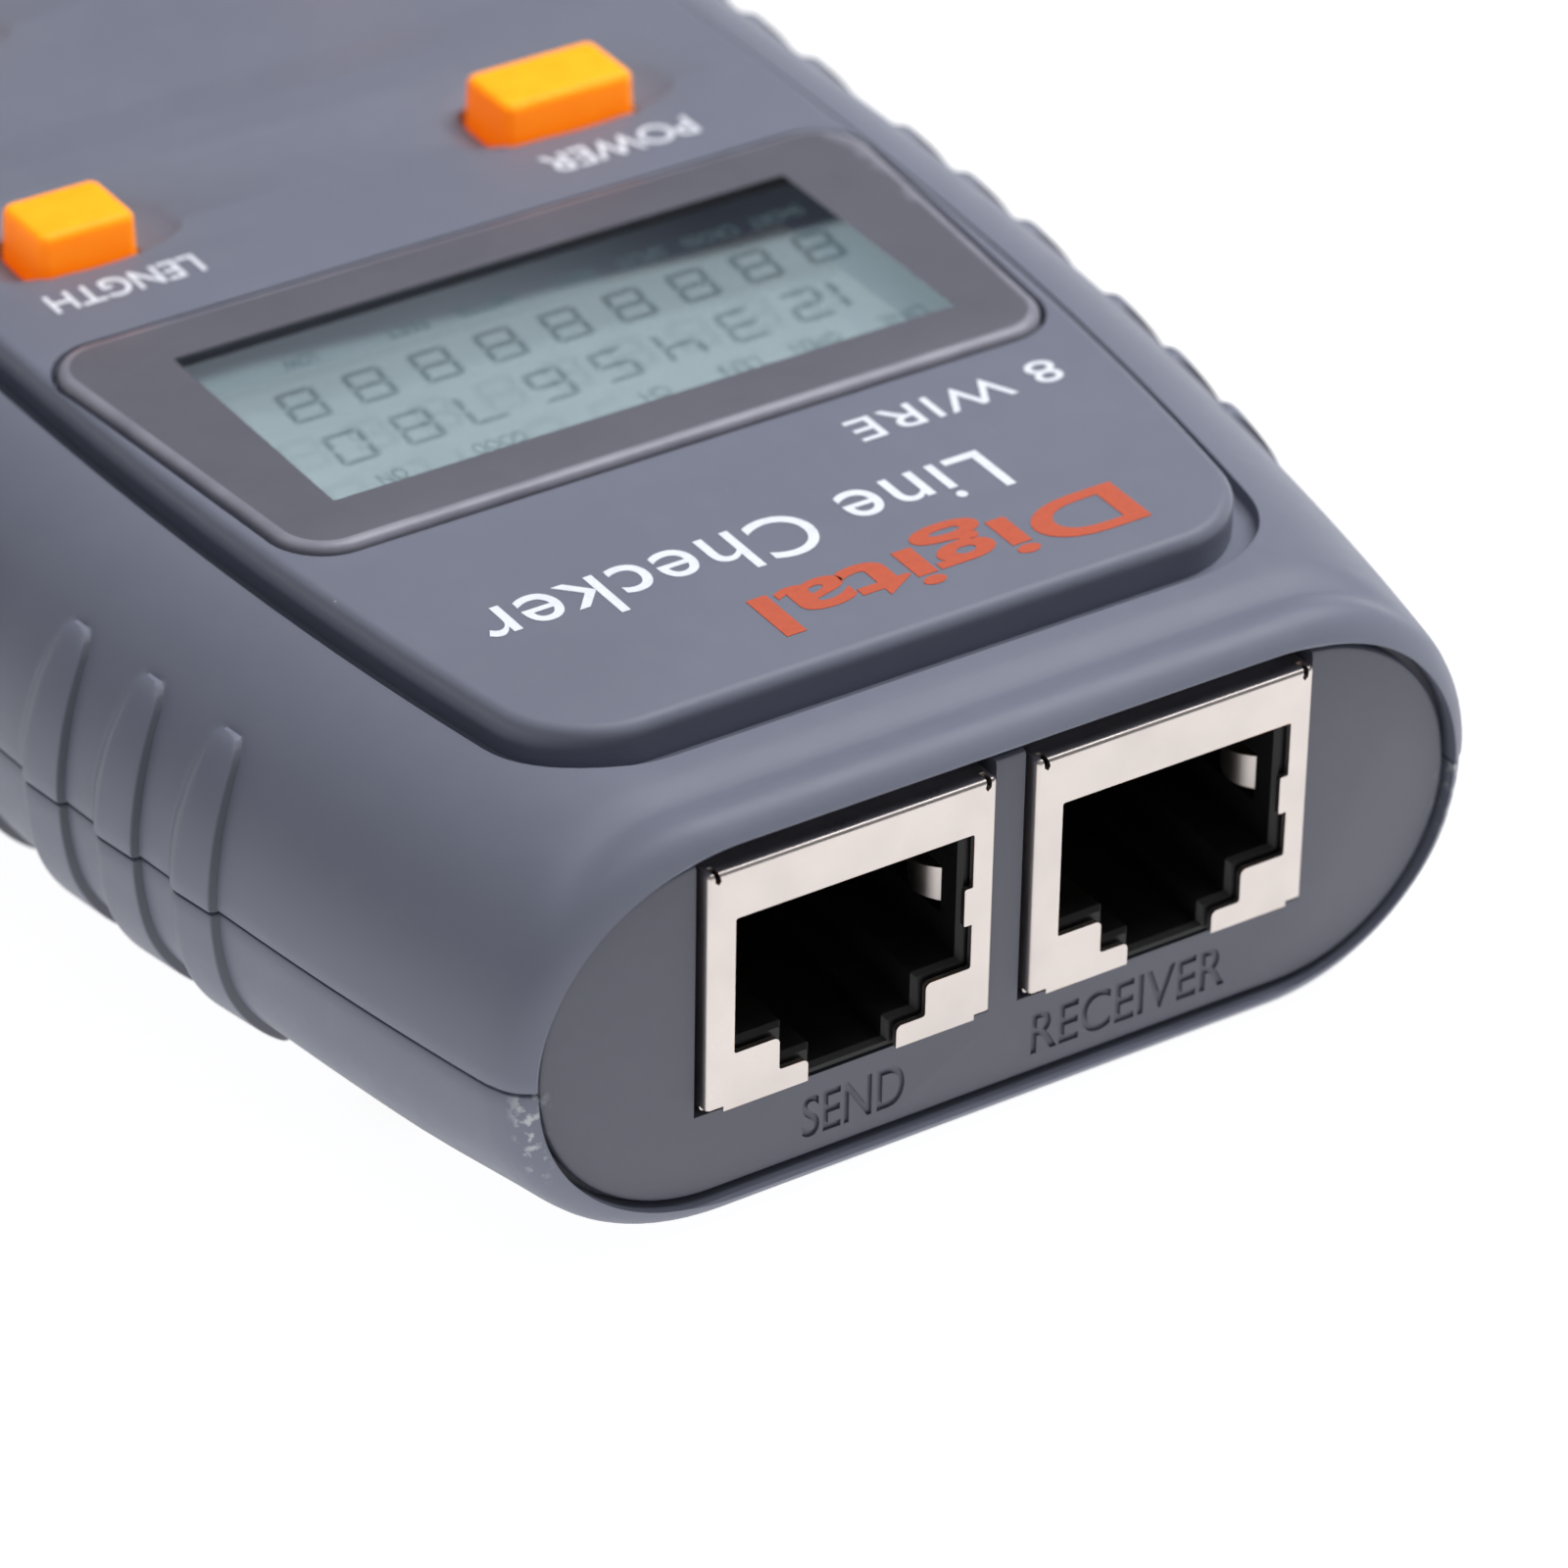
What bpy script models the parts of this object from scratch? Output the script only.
# Hand-held network cable tester: two-shell plastic case, end cap with two
# shielded modular jacks, sunk display behind a clear window, four sprung keys,
# two circuit boards, and a nine-volt battery behind a sliding door.
#
# Frame: +X to the right when the display is read, +Y towards the jacks,
# +Z out of the display.  The origin is on the resting plane, under the middle
# of the case.  The front shell is the upper one (+Z), the back shell the lower.
# All dimensions are in millimetres.
import bpy
import bmesh
import math
from mathutils import Vector

MM = 0.001                # one millimetre in scene units
OVER = 30.0               # a height above the whole tester, where cutters end
SMOOTH_ANGLE = 35         # edges sharper than this many degrees stay crisp


def both_sides(*spots):
    """Each (x, y) spot followed by its mirror image across the centre line."""
    return [(side * x, y) for x, y in spots for side in (1, -1)]


# ------------------------------------------------------------ case dimensions
Y_JACK_END = 73.5         # jack end of the case, round the end cap
Y_TAIL = -73.7            # battery end of the case
SEAM_Z = 11.05            # height of the seam between the two shells
SEAM_GAP = 0.3
UPPER_H = 11.25           # seam to top of shoulder
LOWER_H = SEAM_Z          # seam to resting plane
WALL = 2.2
FLOOR_Z = 2.0             # inner floor of the back shell
CEILING_Z = 19.9          # inner ceiling of the front shell
CORNER_A = 11.3           # horizontal semi-axis of the rounded long sides

MAX_HALF_W = 33.8         # half-width of the case at its widest, without ribs
WIDEST_Y = 13.7
JACK_TAPER, JACK_TAPER_LEN, JACK_TAPER_POWER = 6.4, 60.0, 2.3
TAIL_TAPER, TAIL_TAPER_LEN = 2.6, 87.0
FULLNESS = 0.35           # extra half-width, blended in from FULL_Y towards the tail
FULL_Y, FULL_LEN = 56.0, 22.0
JACK_EDGE_LEN, JACK_EDGE_R = 1.6, 1.75    # rounding of the jack end
TAIL_PLAN_R, TAIL_EDGE_R = 12.0, 5.0      # tail rounding, in plan and in height

# Y of the cross-sections of the case's outside and of its cavity
OUTER_YS = [Y_JACK_END, 73.2, 72.7, 71.9, 66.0, 58.0, 48.0, 36.0, 20.0, 0.0, -25.0,
            -50.0, -62.0, -67.0, -69.8, -72.0, -73.1, Y_TAIL]
CAVITY_YS = [70.95, 62.0, 46.0, 24.0, -10.0, -40.0, -61.0, -66.0, -69.5, -71.8]

REST_HALF_W, REST_Y0, REST_Y1 = 19.4, -64.0, 62.0    # raised rest face on the back
REST_STEP = 0.25

RIB_GROUPS = [52.85, 32.05, 10.95, -10.15]    # Y of the first rib of each group
RIBS_PER_GROUP = 3
RIB_PITCH = 6.0
RIB_RISE = 0.55
RIB_TOP = 2.5             # length of a rib's flat top at the seam
RIB_TAIL = 1.1            # length of a rib's slope towards the tail

# ----------------------------------------------- panel, window and key layout
PANEL_Z = 23.33           # top of the raised front panel
PANEL_BASE_Z = 20.7
GROOVE_Z = 21.1           # floor of the groove round the panel
POCKET_Z = 21.3           # inner ceiling under the raised panel
PANEL_IN = 9.3            # panel edge, inwards from the base width of the case
PANEL_Y0, PANEL_Y1 = -64.0, 65.4
PANEL_R0, PANEL_R1 = 9.0, 4.6             # corner radii, tail end and jack end
GROOVE_SIDE, GROOVE_JACK, GROOVE_TAIL = 1.1, 1.8, 1.2
STEP_Y0, STEP_Y1 = 0.2, 3.7    # shallow step across the panel
STEP_DROP = 0.45

WINDOW_JACK = (22.1, 45.2)     # window corners: (half-width, y)
WINDOW_TAIL = (23.75, 21.7)
WINDOW_R = 3.0
WINDOW_Z0, WINDOW_Z1 = 22.2, 23.65
LCD_HALF_W, LCD_Y0, LCD_Y1 = 21.0, 23.4, 43.4    # opening under the window

KEY_TOP = 25.45
KEY_DEPTH = 4.9
KEYS = {                       # name: (x centre, y centre, width)
    "power": (-11.8, 12.5, 8.3),
    "pair": (16.6, 12.1, 6.0),
    "code": (-13.4, -11.8, 7.4),
    "memory": (14.4, -11.8, 7.4),
}

# ---------------------------------------- end cap, jacks, boards and fixings
CAP_HALF_W = 25.9         # end cap, a stadium in the X-Z plane
CAP_R = 9.45
CAP_Y0, CAP_Y1 = 71.0, 73.1

JACK_W, JACK_H, JACK_D = 16.0, 13.5, 21.3    # shielded modular jack
JACK_X = 9.13             # centre of each jack from the centre line
JACK_Y = 73.7
JACK_TOP = 20.0
SHEET = 0.3
LEG_X = 7.85              # shield leg from the jack's centre
PIN_ROWS = (55.2, 57.2)   # Y of the two rows of contact pins

BOARD_T = 1.6
DISPLAY_BOARD_Z0 = 14.0
DISPLAY_BOARD_Z1 = DISPLAY_BOARD_Z0 + BOARD_T
JACK_BOARD_Z0, JACK_BOARD_Z1 = 4.6, 6.2
REST_GAP = 0.1            # gap between the display board and parts above it

BATTERY_Z0, BATTERY_Z1 = 2.2, 19.7
BATTERY_Z = (BATTERY_Z0 + BATTERY_Z1) / 2
TERMINAL_X = 6.35

CASE_SCREWS = both_sides((22.6, 57.0), (23.0, -58.0))
DISPLAY_SCREWS = both_sides((24.9, 46.0), (24.9, -12.6))
JACK_BOARD_SCREWS = both_sides((15.6, 34.0))
BOARD_HOLE_R = 1.15

# --------------------------------------------------------- scene and materials
for old_object in list(bpy.data.objects):
    bpy.data.objects.remove(old_object, do_unlink=True)


def material(name, color, roughness, metallic=0.0, alpha=1.0):
    mat = bpy.data.materials.new(name)
    mat.use_nodes = True
    inputs = mat.node_tree.nodes["Principled BSDF"].inputs
    inputs["Base Color"].default_value = (*color, 1.0)
    inputs["Roughness"].default_value = roughness
    inputs["Metallic"].default_value = metallic
    inputs["Alpha"].default_value = alpha
    return mat


CASE = material("case_plastic", color=(0.155, 0.165, 0.20), roughness=0.5)
CAP = material("cap_plastic", color=(0.13, 0.14, 0.17), roughness=0.5)
ORANGE = material("key_orange", color=(0.95, 0.42, 0.04), roughness=0.4)
CLEAR = material("window_clear", color=(0.30, 0.31, 0.36), roughness=0.1, alpha=0.5)
LCD = material("lcd_green", color=(0.34, 0.42, 0.44), roughness=0.15)
NICKEL = material("nickel_sheet", color=(0.80, 0.76, 0.73), roughness=0.25, metallic=1.0)
BLACK = material("black_plastic", color=(0.02, 0.02, 0.022), roughness=0.45)
WHITE = material("white_plastic", color=(0.75, 0.75, 0.72), roughness=0.5)
BOARD = material("board_green", color=(0.03, 0.20, 0.07), roughness=0.45)
GOLD = material("contact_gold", color=(0.85, 0.62, 0.25), roughness=0.25, metallic=1.0)
STEEL = material("screw_steel", color=(0.55, 0.55, 0.56), roughness=0.3, metallic=1.0)
CAN = material("can_metal", color=(0.72, 0.72, 0.74), roughness=0.3, metallic=1.0)
RUBBER = material("zebra_rubber", color=(0.08, 0.08, 0.09), roughness=0.7)
JACKET = material("battery_jacket", color=(0.05, 0.06, 0.10), roughness=0.35)
RED_WIRE = material("lead_red", color=(0.6, 0.02, 0.02), roughness=0.5)
BLACK_WIRE = material("lead_black", color=(0.02, 0.02, 0.02), roughness=0.5)


# ------------------------------------------- outlines, as lists of (x, y) pairs
def circle(cx, cy, radius, sides):
    return [(cx + radius * math.cos(2 * math.pi * k / sides),
             cy + radius * math.sin(2 * math.pi * k / sides)) for k in range(sides)]


def rounded(x0, x1, y0, y1, radius, steps=4):
    """Rectangle with rounded corners."""
    points = []
    for cx, cy, start in ((x1 - radius, y1 - radius, 0), (x0 + radius, y1 - radius, 90),
                          (x0 + radius, y0 + radius, 180), (x1 - radius, y0 + radius, 270)):
        for k in range(steps + 1):
            angle = math.radians(start + 90.0 * k / steps)
            points.append((cx + radius * math.cos(angle), cy + radius * math.sin(angle)))
    return points


def offset(outline, distance):
    """Move a counter-clockwise outline inwards by distance."""
    moved = []
    for i in range(len(outline)):
        before, here, after = (Vector(outline[i - 1]), Vector(outline[i]),
                               Vector(outline[(i + 1) % len(outline)]))
        edge_in, edge_out = (here - before).normalized(), (after - here).normalized()
        normal = Vector((-edge_in.y, edge_in.x))
        miter = normal + Vector((-edge_out.y, edge_out.x))
        miter = miter / max(0.3, miter.dot(normal))    # limits the miter at sharp corners
        moved.append((here.x + miter.x * distance, here.y + miter.y * distance))
    return moved


def with_mirror(right):
    """Close a right-hand half outline with its mirror image."""
    return right + [(-across, along) for across, along in reversed(right)]


# -------------------------------------------- solids, as (vertices, faces) data
def merge(parts):
    verts, faces = [], []
    for part_verts, part_faces in parts:
        start = len(verts)
        verts.extend(part_verts)
        faces.extend([tuple(i + start for i in face) for face in part_faces])
    return verts, faces


def loft(rings):
    """Skin equal rings of points and cap the ends."""
    count = len(rings[0])
    verts = [tuple(point) for ring in rings for point in ring]
    faces = []
    for k in range(len(rings) - 1):
        low, high = k * count, (k + 1) * count
        for i in range(count):
            j = (i + 1) % count
            faces.append((low + i, low + j, high + j, high + i))
    faces.append(tuple(range(count - 1, -1, -1)))
    faces.append(tuple((len(rings) - 1) * count + i for i in range(count)))
    return verts, faces


def prism(outline, axis, start, end):
    """Extrude an outline given in the plane across axis from start to end."""
    def put(point, along):
        if axis == "x":
            return (along, point[0], point[1])
        if axis == "y":
            return (point[0], along, point[1])
        return (point[0], point[1], along)
    return loft([[put(point, along) for point in outline] for along in (start, end)])


def box(x0, x1, y0, y1, z0, z1):
    return prism([(x0, y0), (x1, y0), (x1, y1), (x0, y1)], "z", z0, z1)


def turned(x, y, profile, sides):
    """A solid of revolution about a vertical axis from (radius, z) pairs."""
    return loft([[(px, py, z) for px, py in circle(x, y, radius, sides)]
                 for radius, z in profile])


def turned_at(spots, profile, sides):
    return [turned(x, y, profile, sides) for x, y in spots]


def stack(outline, levels):
    """Loft a plan outline through (inward offset, z) levels."""
    return loft([[(x, y, z) for x, y in offset(outline, distance)]
                 for distance, z in levels])


def tube(path, radius, sides):
    rings = []
    for i, point in enumerate(path):
        before = Vector(path[max(0, i - 1)])
        after = Vector(path[min(len(path) - 1, i + 1)])
        tangent = (after - before).normalized()
        across = Vector((1, 0, 0))
        across = (across - tangent * across.dot(tangent)).normalized()
        other = tangent.cross(across)
        rings.append([tuple(Vector(point) + (across * math.cos(2 * math.pi * k / sides)
                      + other * math.sin(2 * math.pi * k / sides)) * radius)
                      for k in range(sides)])
    return loft(rings)


# ------------------------------------------------------------- object helpers
def make(name, solid, mat, origin=(0, 0, 0)):
    verts, faces = solid
    mesh = bpy.data.meshes.new(name)
    mesh.from_pydata([tuple((c - o) * MM for c, o in zip(vert, origin)) for vert in verts],
                     [], faces)
    work = bmesh.new()
    work.from_mesh(mesh)
    bmesh.ops.recalc_face_normals(work, faces=work.faces)
    work.to_mesh(mesh)
    work.free()
    piece = bpy.data.objects.new(name, mesh)
    piece.location = tuple(o * MM for o in origin)
    bpy.context.scene.collection.objects.link(piece)
    mesh.materials.append(mat)
    return piece


def boolean(piece, solid, operation):
    """Cut, join or intersect a piece with a solid and keep the result as its mesh."""
    tool = make("tool", solid, CASE)
    modifier = piece.modifiers.new("step", "BOOLEAN")
    modifier.operation = operation
    modifier.solver = "EXACT"
    modifier.object = tool
    bpy.context.view_layer.update()
    depsgraph = bpy.context.evaluated_depsgraph_get()
    result = bpy.data.meshes.new_from_object(piece.evaluated_get(depsgraph))
    piece.modifiers.clear()
    old_mesh = piece.data
    result.materials.clear()
    result.materials.append(old_mesh.materials[0])
    piece.data = result
    bpy.data.meshes.remove(old_mesh)
    bpy.data.objects.remove(tool, do_unlink=True)


def cut(piece, *solids):
    for solid in solids:
        boolean(piece, solid, "DIFFERENCE")


def join(piece, solid):
    boolean(piece, solid, "UNION")


def carved(solid, *cutters):
    """Cut a solid and return the result as (vertices, faces) data."""
    piece = make("carved", solid, CASE)
    cut(piece, *cutters)
    verts = [tuple(c / MM for c in vert.co) for vert in piece.data.vertices]
    faces = [tuple(face.vertices) for face in piece.data.polygons]
    bpy.data.objects.remove(piece, do_unlink=True)
    return verts, faces


def smooth(piece):
    piece.data.shade_smooth()
    piece.data.set_sharp_from_angle(angle=math.radians(SMOOTH_ANGLE))


# ----------------------------------------------------------------- case shape
def base_width(y):
    """Half-width curve that the panel and its groove follow."""
    if y > WIDEST_Y:
        return MAX_HALF_W - JACK_TAPER * ((y - WIDEST_Y) / JACK_TAPER_LEN) ** JACK_TAPER_POWER
    return MAX_HALF_W - TAIL_TAPER * ((WIDEST_Y - y) / TAIL_TAPER_LEN) ** 2


def half_width(y):
    """Half-width of the case at the seam: slightly fuller away from the jack end."""
    blend = min(max((FULL_Y - y) / FULL_LEN, 0.0), 1.0)
    return base_width(y) + FULLNESS * blend * blend * (3 - 2 * blend)


def round_in(distance, radius):
    """Inset of a quarter-round edge at a distance past its start."""
    distance = min(max(distance, 0.0), radius)
    return radius - math.sqrt(radius * radius - distance * distance)


def end_inset(y):
    """(inset of the half-width, inset of top and bottom) near the two ends."""
    jack_end = round_in(y - (Y_JACK_END - JACK_EDGE_LEN), JACK_EDGE_R)
    tail_plan = round_in((Y_TAIL + TAIL_PLAN_R) - y, TAIL_PLAN_R)
    tail_edge = round_in((Y_TAIL + TAIL_EDGE_R) - y, TAIL_EDGE_R)
    return jack_end + tail_plan, jack_end + tail_edge


def section(y, z_start, upper, inset=0.0, z_limit=None, steps=8):
    """Cross-section of the upper or lower half of the case, from z_start outwards."""
    side_inset, height_inset = end_inset(y)
    width = half_width(y) - side_inset - inset
    height = (UPPER_H if upper else LOWER_H) - height_inset - inset
    if z_limit is not None:
        limit = abs(z_limit - SEAM_Z)
        height = limit if height_inset < 0.2 else min(limit, height)
    semi_axis = CORNER_A - inset
    sign = 1.0 if upper else -1.0
    start = math.asin(sign * (z_start - SEAM_Z) / height)
    right = []
    for k in range(steps):
        angle = start + (math.pi / 2 - start) * k / (steps - 1)
        right.append((width - semi_axis + semi_axis * math.cos(angle),
                      SEAM_Z + sign * height * math.sin(angle)))
    return [(x, y, z) for x, z in with_mirror(right)]


def seam_edge(upper):
    return SEAM_Z + (SEAM_GAP / 2 if upper else -SEAM_GAP / 2)


def outer(upper):
    return loft([section(y, seam_edge(upper), upper) for y in OUTER_YS])


def cavity(upper):
    """Inside of one shell, running a little past the seam."""
    z_start = SEAM_Z - 0.6 if upper else SEAM_Z + 0.6
    z_limit = CEILING_Z if upper else FLOOR_Z
    return loft([section(y, z_start, upper, WALL, z_limit, steps=6) for y in CAVITY_YS])


def rib(y, side, upper):
    """One grip rib: a crisp step facing the jacks, a short top, a soft slope behind."""
    steps = 5
    height = UPPER_H if upper else LOWER_H
    start = math.asin(SEAM_GAP / 2 / height)
    end = math.radians(44 if upper else 60)
    lean = 1.7 if upper else 0.45     # shift towards the tail at 42 degrees
    sign = 1.0 if upper else -1.0
    rings = []
    for k in range(steps):
        angle = start + (end - start) * k / (steps - 1)
        part = angle / end
        # the far end sinks just below the case surface
        rise = RIB_RISE * math.sqrt(1.0 - part ** 4) if part < 0.999 else -0.1
        top = RIB_TOP * (1 - 0.6 * part * part)
        crest = y - lean * (math.degrees(angle) / 42.0) ** 2
        ring = []
        for shift, lift in ((0.0, -1.0), (0.0, 0.85 * rise), (-top, rise),
                            (-top - RIB_TAIL, -0.3)):
            rib_y = crest + shift
            x = half_width(rib_y) - CORNER_A + (CORNER_A + lift) * math.cos(angle)
            z = SEAM_Z + sign * (height + lift) * math.sin(angle)
            if k == 0:
                z = seam_edge(upper)
            ring.append((side * x, rib_y, z))
        rings.append(ring)
    return loft(rings)


def ribs(upper):
    return merge([rib(group_y - RIB_PITCH * k, side, upper) for group_y in RIB_GROUPS
                  for k in range(RIBS_PER_GROUP) for side in (1, -1)])


def plan(inset, y0, y1, steps=12):
    """Plan outline of the case, moved inwards by inset."""
    ys = [y0 + (y1 - y0) * k / steps for k in range(steps + 1)]
    return with_mirror([(half_width(y) - end_inset(y)[0] - inset, y) for y in ys])


def panel_outline(grow_side=0.0, grow_jack=0.0, grow_tail=0.0):
    """Raised panel: follows the case's sides, with rounded corners."""
    y1, y0 = PANEL_Y1 + grow_jack, PANEL_Y0 - grow_tail
    r1, r0 = PANEL_R1 + grow_side, PANEL_R0 + grow_side

    def edge_x(y):
        return base_width(y) - PANEL_IN + grow_side

    right = []
    for k in range(5):                      # corner at the tail end
        angle = math.radians(-90 + 90.0 * k / 4)
        y = y0 + r0 + r0 * math.sin(angle)
        right.append((edge_x(y) - r0 + r0 * math.cos(angle), y))
    for k in range(1, 8):                   # long side
        y = (y0 + r0) + (y1 - r1 - y0 - r0) * k / 8
        right.append((edge_x(y), y))
    for k in range(6):                      # corner at the jack end
        angle = math.radians(90.0 * k / 5)
        y = y1 - r1 + r1 * math.sin(angle)
        right.append((edge_x(y) - r1 + r1 * math.cos(angle), y))
    return with_mirror(right)


def window_outline(grow):
    radius = WINDOW_R + grow
    points = []
    for (half, corner_y), side, end, start in (
            (WINDOW_TAIL, 1, -1, 270), (WINDOW_JACK, 1, 1, 0),
            (WINDOW_JACK, -1, 1, 90), (WINDOW_TAIL, -1, -1, 180)):
        cx = side * (half + grow) - side * radius
        cy = corner_y + end * grow - end * radius
        for k in range(5):
            angle = math.radians(start + 90.0 * k / 4)
            points.append((cx + radius * math.cos(angle), cy + radius * math.sin(angle)))
    return points


def cap_outline(grow=0.0):
    """Stadium outline of the end cap in the X-Z plane, centred on the seam."""
    half, radius = CAP_HALF_W + grow, CAP_R + grow
    points = []
    for side in (1, -1):
        for k in range(9):
            angle = math.radians(-90 * side + 180.0 * k / 8)
            points.append((side * (half - radius) + radius * math.cos(angle),
                           SEAM_Z + radius * math.sin(angle)))
    return points


def cut_cap_seat(shell):
    """Opening for the end cap and the groove for the flange round it."""
    cut(shell, prism(cap_outline(0.2), "y", 69.5, 80.0),
        prism(cap_outline(0.8), "y", 71.05, 72.35))


def key_outline(key, grow, radius, steps):
    x, y, width = KEYS[key]
    return rounded(x - width / 2 - grow, x + width / 2 + grow, y - KEY_DEPTH / 2 - grow,
                   y + KEY_DEPTH / 2 + grow, radius, steps)


def key_dish(key):
    """Shallow finger scoop round a key: deepest at the key, rising towards the tail."""
    x, y, width = KEYS[key]
    top = 23.4 if y > 0 else 23.0
    near = y + KEY_DEPTH / 2 + 0.35
    far = y - KEY_DEPTH / 2 - 3.6
    rings = []
    # (x from the key's centre, depth)
    for across, depth in ((-width / 2 - 3.0, 0.95 * 0.05), (-width / 2 - 0.9, 0.95),
                          (width / 2 + 0.9, 0.95), (width / 2 + 1.9, 0.95 * 0.05)):
        rings.append([(x + across, near, top + 1.0), (x + across, near, top - depth),
                      (x + across, y - 1.0, top - depth), (x + across, far, top),
                      (x + across, far, top + 1.0)])
    return loft(rings)


# ---------------------------------------------------------------- front shell
front = make("front_shell", outer(True), CASE)
cut(front, prism(panel_outline(GROOVE_SIDE, GROOVE_JACK, GROOVE_TAIL), "z", GROOVE_Z, OVER))
join(front, stack(panel_outline(), ((0.0, PANEL_BASE_Z), (0.0, PANEL_Z - 0.8),
                                    (0.2, PANEL_Z - 0.25), (0.65, PANEL_Z))))
join(front, ribs(True))
# lower the tail part of the panel, with a slope up to the rest
cut(front, prism([(STEP_Y1, PANEL_Z + 0.001), (STEP_Y1 + 0.4, PANEL_Z + 2),
                  (-80, PANEL_Z + 2), (-80, PANEL_Z - STEP_DROP),
                  (STEP_Y0, PANEL_Z - STEP_DROP)], "x", -27, 27))
cut(front, cavity(True))
# recess round the inside of the seam for the back shell's tongue
cut(front, prism(plan(1.05, -71.6, 69.4), "z", SEAM_Z - 1.0, SEAM_Z + 1.35))
cut(front, prism(offset(panel_outline(), 2.2), "z", 17.0, POCKET_Z))
cut_cap_seat(front)
cut(front, box(-17.9, 17.9, 51.9, 72.0, 15.0, JACK_TOP + 0.35))    # room over the jacks
join(front, merge(turned_at(CASE_SCREWS, [(3.2, 11.9), (3.2, 20.1)], 10)
                  + turned_at(DISPLAY_SCREWS, [(2.0, 15.75), (2.0, 20.0)], 8)))
cut(front, merge(turned_at(CASE_SCREWS, [(1.6, 10.0), (1.6, 19.4)], 8)
                 + turned_at(DISPLAY_SCREWS, [(1.1, 13.0), (1.1, 18.9)], 8)))
cut(front, prism(window_outline(0.22), "z", WINDOW_Z0 - 0.1, OVER))
cut(front, box(-LCD_HALF_W, LCD_HALF_W, LCD_Y0, LCD_Y1, 17.0, OVER))
cut(front, *[key_dish(key) for key in KEYS])
cut(front, *[prism(key_outline(key, 0.3, 0.8, 3), "z", 18.0, OVER) for key in KEYS])
smooth(front)

# ----------------------------------------------------------------- back shell
back = make("back_shell", outer(False), CASE)
join(back, ribs(False))
cut(back, cavity(False))
# tongue standing up inside the seam
join(back, carved(prism(plan(1.35, -71.4, 69.2), "z", SEAM_Z - 2.2, SEAM_Z + 1.0),
                  prism(plan(WALL - 0.05, -70.6, 80.0, 13), "z", SEAM_Z - 4, SEAM_Z + 4)))
cut_cap_seat(back)
# case screw bosses, and two bosses and a bar under the jack board
board_rest_z = JACK_BOARD_Z0 - 0.15
join(back, merge(turned_at(CASE_SCREWS, [(2.2, 1.6), (3.2, 3.0), (3.2, 11.3)], 10)
                 + turned_at(JACK_BOARD_SCREWS, [(2.4, 1.2), (2.4, board_rest_z)], 8)
                 + [box(-12.0, 12.0, 64.4, 65.6, 1.2, board_rest_z)]))
# battery bay walls, notched at the foot of the wall nearest the jacks
join(back, carved(box(-17.1, 17.1, -71.7, -17.4, 1.2, 10.9),
                  box(-15.9, 15.9, -80.0, -18.6, 0.0, 20.0),
                  box(-6.9, 6.9, -30.0, -10.0, 0.0, 2.9)))
cut(back, merge(turned_at(CASE_SCREWS, [(1.6, -1.0), (1.6, 12.5)], 8)
                + turned_at(JACK_BOARD_SCREWS, [(BOARD_HOLE_R, 2.6), (BOARD_HOLE_R, 8.0)], 8)))
cut(back, merge(turned_at(CASE_SCREWS, [(2.9, -1.0), (2.9, 4.9)], 12)))    # head recesses
# door opening, turning up round the tail end
cut(back, prism([(-80, -1), (-19.1, -1), (-19.1, 2.6), (-71.0, 2.6), (-71.0, 9.5), (-80, 9.5)],
                "x", -15.5, 15.5))
cut(back, box(-6.4, 6.4, -19.9, -15.6, 0.9, 2.5))    # half-lap for the door's tongue
# trim round the rest face, which stands slightly proud of the back
cut(back, box(-60, -REST_HALF_W, -90, 90, -5, REST_STEP),
    box(REST_HALF_W, 60, -90, 90, -5, REST_STEP),
    box(-60, 60, -90, REST_Y0, -5, REST_STEP),
    box(-60, 60, REST_Y1, 90, -5, REST_STEP))
smooth(back)

# --------------------------------------------------------------- battery door
door = make("battery_door", outer(False), CASE, origin=(0, -46.0, 1.0))
boolean(door, prism([(-80, -1), (-19.4, -1), (-19.4, 1.9), (-71.6, 1.9), (-71.6, 9.2),
                     (-80, 9.2)], "x", -15.2, 15.2), "INTERSECT")
join(door, box(-6.0, 6.0, -22.0, -16.2, 1.2, 1.85))    # tongue
# four grooves, each shorter than the one before it
cut(door, merge([box(-6.5 + k, 6.5 - k, -31.0 - 2.6 * k, -29.7 - 2.6 * k, -1.0, 0.55)
                 for k in range(4)]))
cut(door, box(-60, 60, -90, 90, -5, REST_STEP))
smooth(door)

# -------------------------------------------------------------------- end cap
cap = make("end_cap", prism(cap_outline(), "y", CAP_Y0, CAP_Y1), CAP)
join(cap, prism(cap_outline(0.55), "y", 71.25, 72.15))    # flange
for side in (1, -1):
    cut(cap, box(side * JACK_X - 8.3, side * JACK_X + 8.3, 60, 80,
                 JACK_TOP - JACK_H - 0.3, OVER))
smooth(cap)

# ---------------------------------------------------------------------- jacks
OPENING_SHIFT = -0.14     # opening centre from the jack's centre
# (x from the jack's centre, y) of a side ground spring, folded back from the mouth
SPRING_LEAF = [(7.05, 73.5), (7.05, 70.6), (5.95, 68.9), (6.7, 66.8), (6.95, 66.8),
               (6.3, 69.0), (7.3, 70.7), (7.3, 73.5)]
# the same columns for the housing's recess round it
SPRING_RECESS = [(5.6, 66.4), (7.7, 66.4), (7.7, 74.0), (6.75, 74.0), (6.75, 70.8),
                 (5.6, 70.8)]
# (y, z) outline of a contact wire, slanting down and back under itself
CONTACT_STRIP = [(57.9, 17.5), (70.5, 17.5), (63.5, 15.25), (63.6, 14.9),
                 (71.35, 17.1), (70.8, 17.9), (57.9, 17.9)]
CONTACTS = 8
CONTACT_PITCH = 1.02


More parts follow.
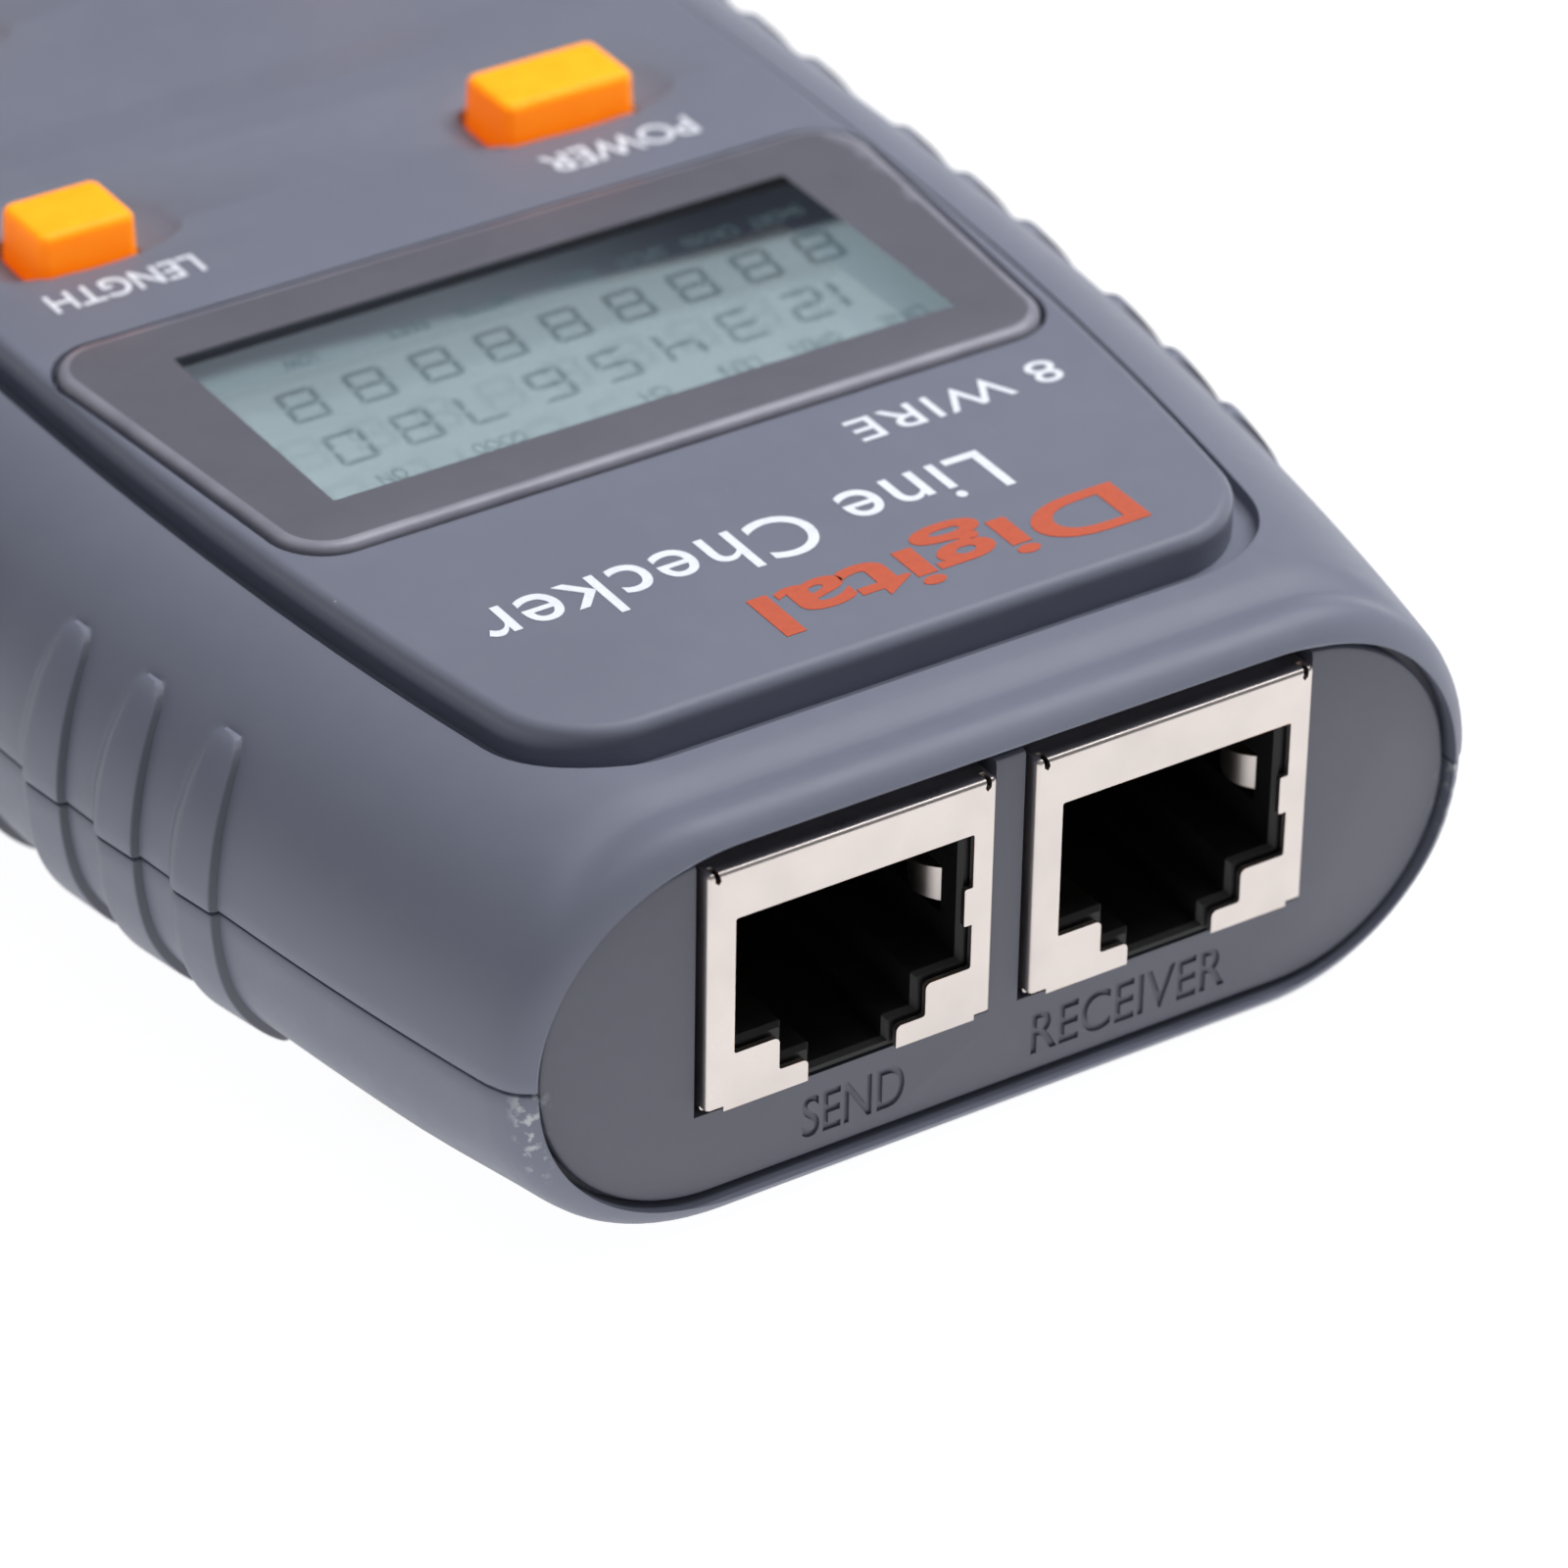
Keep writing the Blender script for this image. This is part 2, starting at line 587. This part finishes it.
def jack_opening(jack_x, half_widths, depths, tab=0.0):
    """Stepped X-Z opening, from wide to narrow; depths go down from the jack's top."""
    wide, middle, narrow = half_widths
    top, step1, step2, end = depths
    points = [(wide, -top), (-wide, -top)]
    if tab:
        points += [(-wide, -5.8), (-wide + tab, -5.8), (-wide + tab, -7.9), (-wide, -7.9)]
    points += [(-wide, -step1), (-middle, -step1), (-middle, -step2), (-narrow, -step2),
               (-narrow, -end), (narrow, -end), (narrow, -step2), (middle, -step2),
               (middle, -step1), (wide, -step1)]
    return [(jack_x + OPENING_SHIFT + x, JACK_TOP + z) for x, z in points]


def prism_pair(jack_x, outline, z0, z1):
    """A vertical prism on each side of a jack."""
    return merge([prism([(jack_x + side * x, y) for x, y in outline], "z", z0, z1)
                  for side in (1, -1)])


def jack_shield(name, jack_x):
    half, y0, z0 = JACK_W / 2, JACK_Y - JACK_D, JACK_TOP - JACK_H
    shield = make(name, box(jack_x - half, jack_x + half, y0, JACK_Y, z0, JACK_TOP), NICKEL)
    cut(shield, box(jack_x - half + SHEET, jack_x + half - SHEET, y0 + SHEET,
                    JACK_Y - SHEET, z0 - 1, JACK_TOP - SHEET))
    cut(shield, prism(jack_opening(jack_x, (6.62, 4.1, 2.48), (2.8, 10.4, 12.25, 14.5), 0.45),
                      "y", 70.0, 80.0))
    join(shield, merge([box(jack_x + side * LEG_X - 0.15, jack_x + side * LEG_X + 0.15,
                            59.5, 61.3, 3.3, 8.0) for side in (1, -1)]))
    join(shield, prism_pair(jack_x, SPRING_LEAF, 12.2, 14.1))


def jack_housing(name, jack_x):
    housing = make(name, box(jack_x - 7.6, jack_x + 7.6, 52.85, 73.25,
                             JACK_TOP - JACK_H + 0.05, JACK_TOP - 0.4), BLACK)
    cut(housing, prism(jack_opening(jack_x, (6.15, 3.65, 2.05), (3.2, 9.95, 11.8, 13.0)),
                       "y", 59.6, 80.0))
    # room for the contact wires and for the block behind them
    cut(housing, box(jack_x - 4.75, jack_x + 4.75, 58.0, 72.4, 16.0, 18.4))
    cut(housing, box(jack_x - 5.7, jack_x + 5.7, 53.6, 58.9, 2.0, 18.4))
    cut(housing, prism_pair(jack_x, SPRING_RECESS, 11.8, 14.5))


def jack_contacts(name, jack_x):
    """A block with eight wires running forwards and eight pins running down."""
    block = make(name, box(jack_x - 5.4, jack_x + 5.4, 54.0, 58.3, 9.0, 18.1), GOLD)
    wires = []
    for k in range(CONTACTS):
        x = jack_x + (k - (CONTACTS - 1) / 2) * CONTACT_PITCH
        wires.append(prism(CONTACT_STRIP, "x", x - 0.2, x + 0.2))
        y = PIN_ROWS[1 - k % 2]
        wires.append(box(x - 0.22, x + 0.22, y - 0.22, y + 0.22, 3.6, 9.3))
    join(block, merge(wires))


for jack, jack_x in (("jack_main", JACK_X), ("jack_loopback", -JACK_X)):
    jack_shield(jack + "_shield", jack_x)
    jack_housing(jack + "_housing", jack_x)
    jack_contacts(jack + "_contacts", jack_x)

# ------------------------------------------------------------- display pieces
make("lcd_window", stack(window_outline(0.0), ((0.0, WINDOW_Z0), (0.0, WINDOW_Z1 - 0.35),
                                               (0.35, WINDOW_Z1))), CLEAR)
# (y, z) outline of two glass plates, the upper one shorter
make("lcd_glass", prism([(21.5, 19.5), (44.5, 19.5), (44.5, 20.7), (43.0, 20.7),
                         (43.0, 21.9), (23.8, 21.9), (23.8, 20.7), (21.5, 20.7)],
                        "x", -20.3, 20.3), LCD)
on_board_z = DISPLAY_BOARD_Z1 + REST_GAP
holder = make("lcd_holder", box(-22.3, 22.3, 19.8, 46.2, on_board_z, 19.6), WHITE)
cut(holder, box(-20.6, 20.6, 21.2, 44.8, 19.2, OVER))    # seat for the glass
cut(holder, merge([box(-19.7, 19.7, 21.5, 24.1, 10, OVER),
                   box(-19.7, 19.7, 41.9, 44.5, 10, OVER)]))
for place, y0, y1 in (("upper", 42.3, 44.1), ("lower", 21.9, 23.7)):
    make("zebra_strip_" + place, box(-19.3, 19.3, y0, y1, on_board_z, 19.35), RUBBER)

# --------------------------------------------------------------------- boards
display_board = make("display_board", box(-26.6, 26.6, -16.8, 49.8, DISPLAY_BOARD_Z0,
                                          DISPLAY_BOARD_Z1), BOARD)
cut(display_board, merge(turned_at(DISPLAY_SCREWS, [(BOARD_HOLE_R, 10), (BOARD_HOLE_R, 20)], 8)))

jack_board = make("jack_board", box(-19.0, 19.0, 30.5, 70.6, JACK_BOARD_Z0, JACK_BOARD_Z1),
                  BOARD)
slots = turned_at(JACK_BOARD_SCREWS, [(BOARD_HOLE_R, 2), (BOARD_HOLE_R, 10)], 10)
for jack_x in (JACK_X, -JACK_X):
    for side in (1, -1):
        x = jack_x + side * LEG_X
        slots.append(box(x - 0.4, x + 0.4, 59.2, 61.6, 2, 10))
    for y in PIN_ROWS:
        slots.append(box(jack_x - 4.1, jack_x + 4.1, y - 0.5, y + 0.5, 2, 10))
cut(jack_board, merge(slots))

# header between the boards, with eight notches on its tail side
HEADER_PITCH = 2.54
header = make("board_header", box(-10.2, 10.2, 37.6, 42.6, JACK_BOARD_Z1 + 0.12,
                                  DISPLAY_BOARD_Z0 - 0.12), BLACK)
cut(header, merge([box(-9.6 + HEADER_PITCH * k, -8.2 + HEADER_PITCH * k, 37.0, 38.2, 7.4, 12.6)
                   for k in range(8)]))


def chip(name, x, y, width, depth, z0, z1, pins, upright):
    """A flat package with gull-wing leads on its two long sides."""
    z_mid = (z0 + z1) / 2
    outline = [(x - width / 2, y - depth / 2), (x + width / 2, y - depth / 2),
               (x + width / 2, y + depth / 2), (x - width / 2, y + depth / 2)]
    body = make(name, stack(outline, ((0.25, z0), (0.0, z_mid), (0.25, z1))), BLACK)
    board_z = z0 if upright else z1
    sign = 1.0 if upright else -1.0
    leads = []
    for side in (1, -1):
        edge = y + side * depth / 2
        profile = [(edge - side * 0.3, z_mid - sign * 0.12),
                   (edge + side * 0.7, board_z + sign * 0.08),
                   (edge + side * 1.1, board_z + sign * 0.08),
                   (edge + side * 0.9, z_mid + sign * 0.12),
                   (edge - side * 0.3, z_mid + sign * 0.12)]
        for k in range(pins):
            pin_x = x + (k - (pins - 1) / 2) * (width - 1.2) / (pins - 1)
            leads.append(prism(profile, "x", pin_x - 0.18, pin_x + 0.18))
    join(body, merge(leads))


chip("controller_chip", 0.0, 8.0, 16.0, 9.0, 12.1, DISPLAY_BOARD_Z0 - 0.02, 10, upright=False)
for place, x in (("left", -12.0), ("right", 12.0)):
    chip("line_driver_" + place, x, 47.6, 9.6, 4.0, JACK_BOARD_Z1 + 0.02, 7.8, 6, upright=True)

# cans hanging under the display board
can_z = DISPLAY_BOARD_Z0 - 0.1
make("crystal", stack(rounded(11.0, 20.6, 16.6, 20.4, 1.8),
                      ((0.35, 10.6), (0.0, 10.9), (0.0, can_z))), CAN)
make("capacitor", turned(-15.0, 20.0, [(2.8, 6.9), (3.15, 7.2), (3.15, 12.6), (2.85, 12.9),
                                       (3.15, 13.2), (3.15, can_z)], 12), CAN)

# ---------------------------------------------------------- keys and switches
for key, (x, y, width) in KEYS.items():
    top = KEY_TOP if y > 0 else KEY_TOP - STEP_DROP
    # a narrower foot below the cap, then a softened top edge
    levels = ((-0.85, 19.4), (-0.85, 20.7), (0.0, 20.71), (0.12, top - 0.45),
              (0.26, top - 0.14), (0.55, top))
    levels_comment = None
    make("key_" + key, stack(key_outline(key, 0.0, 0.7, 2), levels), ORANGE,
         origin=(x, y, 22.0))
    body = make("switch_body_" + key, box(x - 3, x + 3, y - 3, y + 3, on_board_z, 18.3), BLACK)
    cut(body, turned(x, y, [(2.0, 17.3), (2.0, OVER)], 14))
    make("switch_plunger_" + key, turned(x, y, [(1.7, 17.95), (1.7, 19.05), (1.5, 19.2)], 14),
         WHITE, origin=(x, y, 18.5))

# -------------------------------------------------------------------- battery
battery = make("battery", prism(rounded(-13.1, 13.1, BATTERY_Z0, BATTERY_Z1, 2.2),
                                "y", -69.6, -23.2), JACKET)
join(battery, merge([prism(circle(-TERMINAL_X, BATTERY_Z, 2.9, 14), "y", -24.0, -21.3),
                     prism(circle(TERMINAL_X, BATTERY_Z, 4.1, 6), "y", -24.0, -21.3)]))
snap = make("battery_snap", prism(rounded(-12.8, 12.8, BATTERY_Z - 5.75, BATTERY_Z + 5.75, 3.0),
                                  "y", -22.9, -19.2), BLACK)
cut(snap, merge([prism(circle(-TERMINAL_X, BATTERY_Z, 3.3, 14), "y", -30.0, -20.8),
                 prism(circle(TERMINAL_X, BATTERY_Z, 4.6, 14), "y", -30.0, -20.8)]))


def lead(name, x0, x1, mat):
    """A wire along a cubic curve from the snap to the display board."""
    controls = list(zip((x0, -21.0, BATTERY_Z + 5.9), (x0, -21.0, 19.6),
                        (x1, -15.2, 20.4), (x1, -14.6, 15.75)))
    path = []
    for k in range(10):
        t = k / 9.0
        path.append(tuple((1 - t) ** 3 * a + 3 * (1 - t) ** 2 * t * b
                          + 3 * (1 - t) * t * t * c + t ** 3 * d for a, b, c, d in controls))
    make(name, tube(path, 0.65, 8), mat)


lead("battery_lead_red", 5.0, 3.4, RED_WIRE)
lead("battery_lead_black", -5.0, -3.4, BLACK_WIRE)

# --------------------------------------------------------------------- screws
# name, places, z of head, seat and tip, radius of head and shank
SCREW_SETS = [
    ("case_screw", CASE_SCREWS, 3.1, 4.8, 17.5, 2.55, 1.25),
    ("display_board_screw", DISPLAY_SCREWS, 12.7, 13.9, 18.4, 1.9, 0.85),
    ("jack_board_screw", JACK_BOARD_SCREWS, 7.5, 6.3, 3.0, 1.9, 0.85),
]


def screw(name, x, y, z_head, z_seat, z_tip, r_head, r_shank):
    """Pan-head screw on a vertical axis, with a crossed recess in its head."""
    sign = 1.0 if z_tip > z_head else -1.0
    profile = [(r_head * 0.72, z_head), (r_head, z_head + sign * 0.45), (r_head, z_seat),
               (r_shank, z_seat + sign * 0.01), (r_shank, z_tip - sign * 0.8),
               (r_shank * 0.35, z_tip)]
    piece = make(name, turned(x, y, profile, 9), STEEL)
    arm, half = r_head * 0.62, r_head * 0.14
    cross = [(arm, -half), (arm, half), (half, half), (half, arm), (-half, arm),
             (-half, half), (-arm, half), (-arm, -half), (-half, -half), (-half, -arm),
             (half, -arm), (half, -half)]
    ends = sorted((z_head - sign * 1.0, z_head + sign * 0.8))
    cut(piece, prism([(x + across, y + along) for across, along in cross], "z", *ends))
    smooth(piece)


for set_name, spots, *sizes in SCREW_SETS:
    for k, (x, y) in enumerate(spots):
        screw("%s_%d" % (set_name, k + 1), x, y, *sizes)
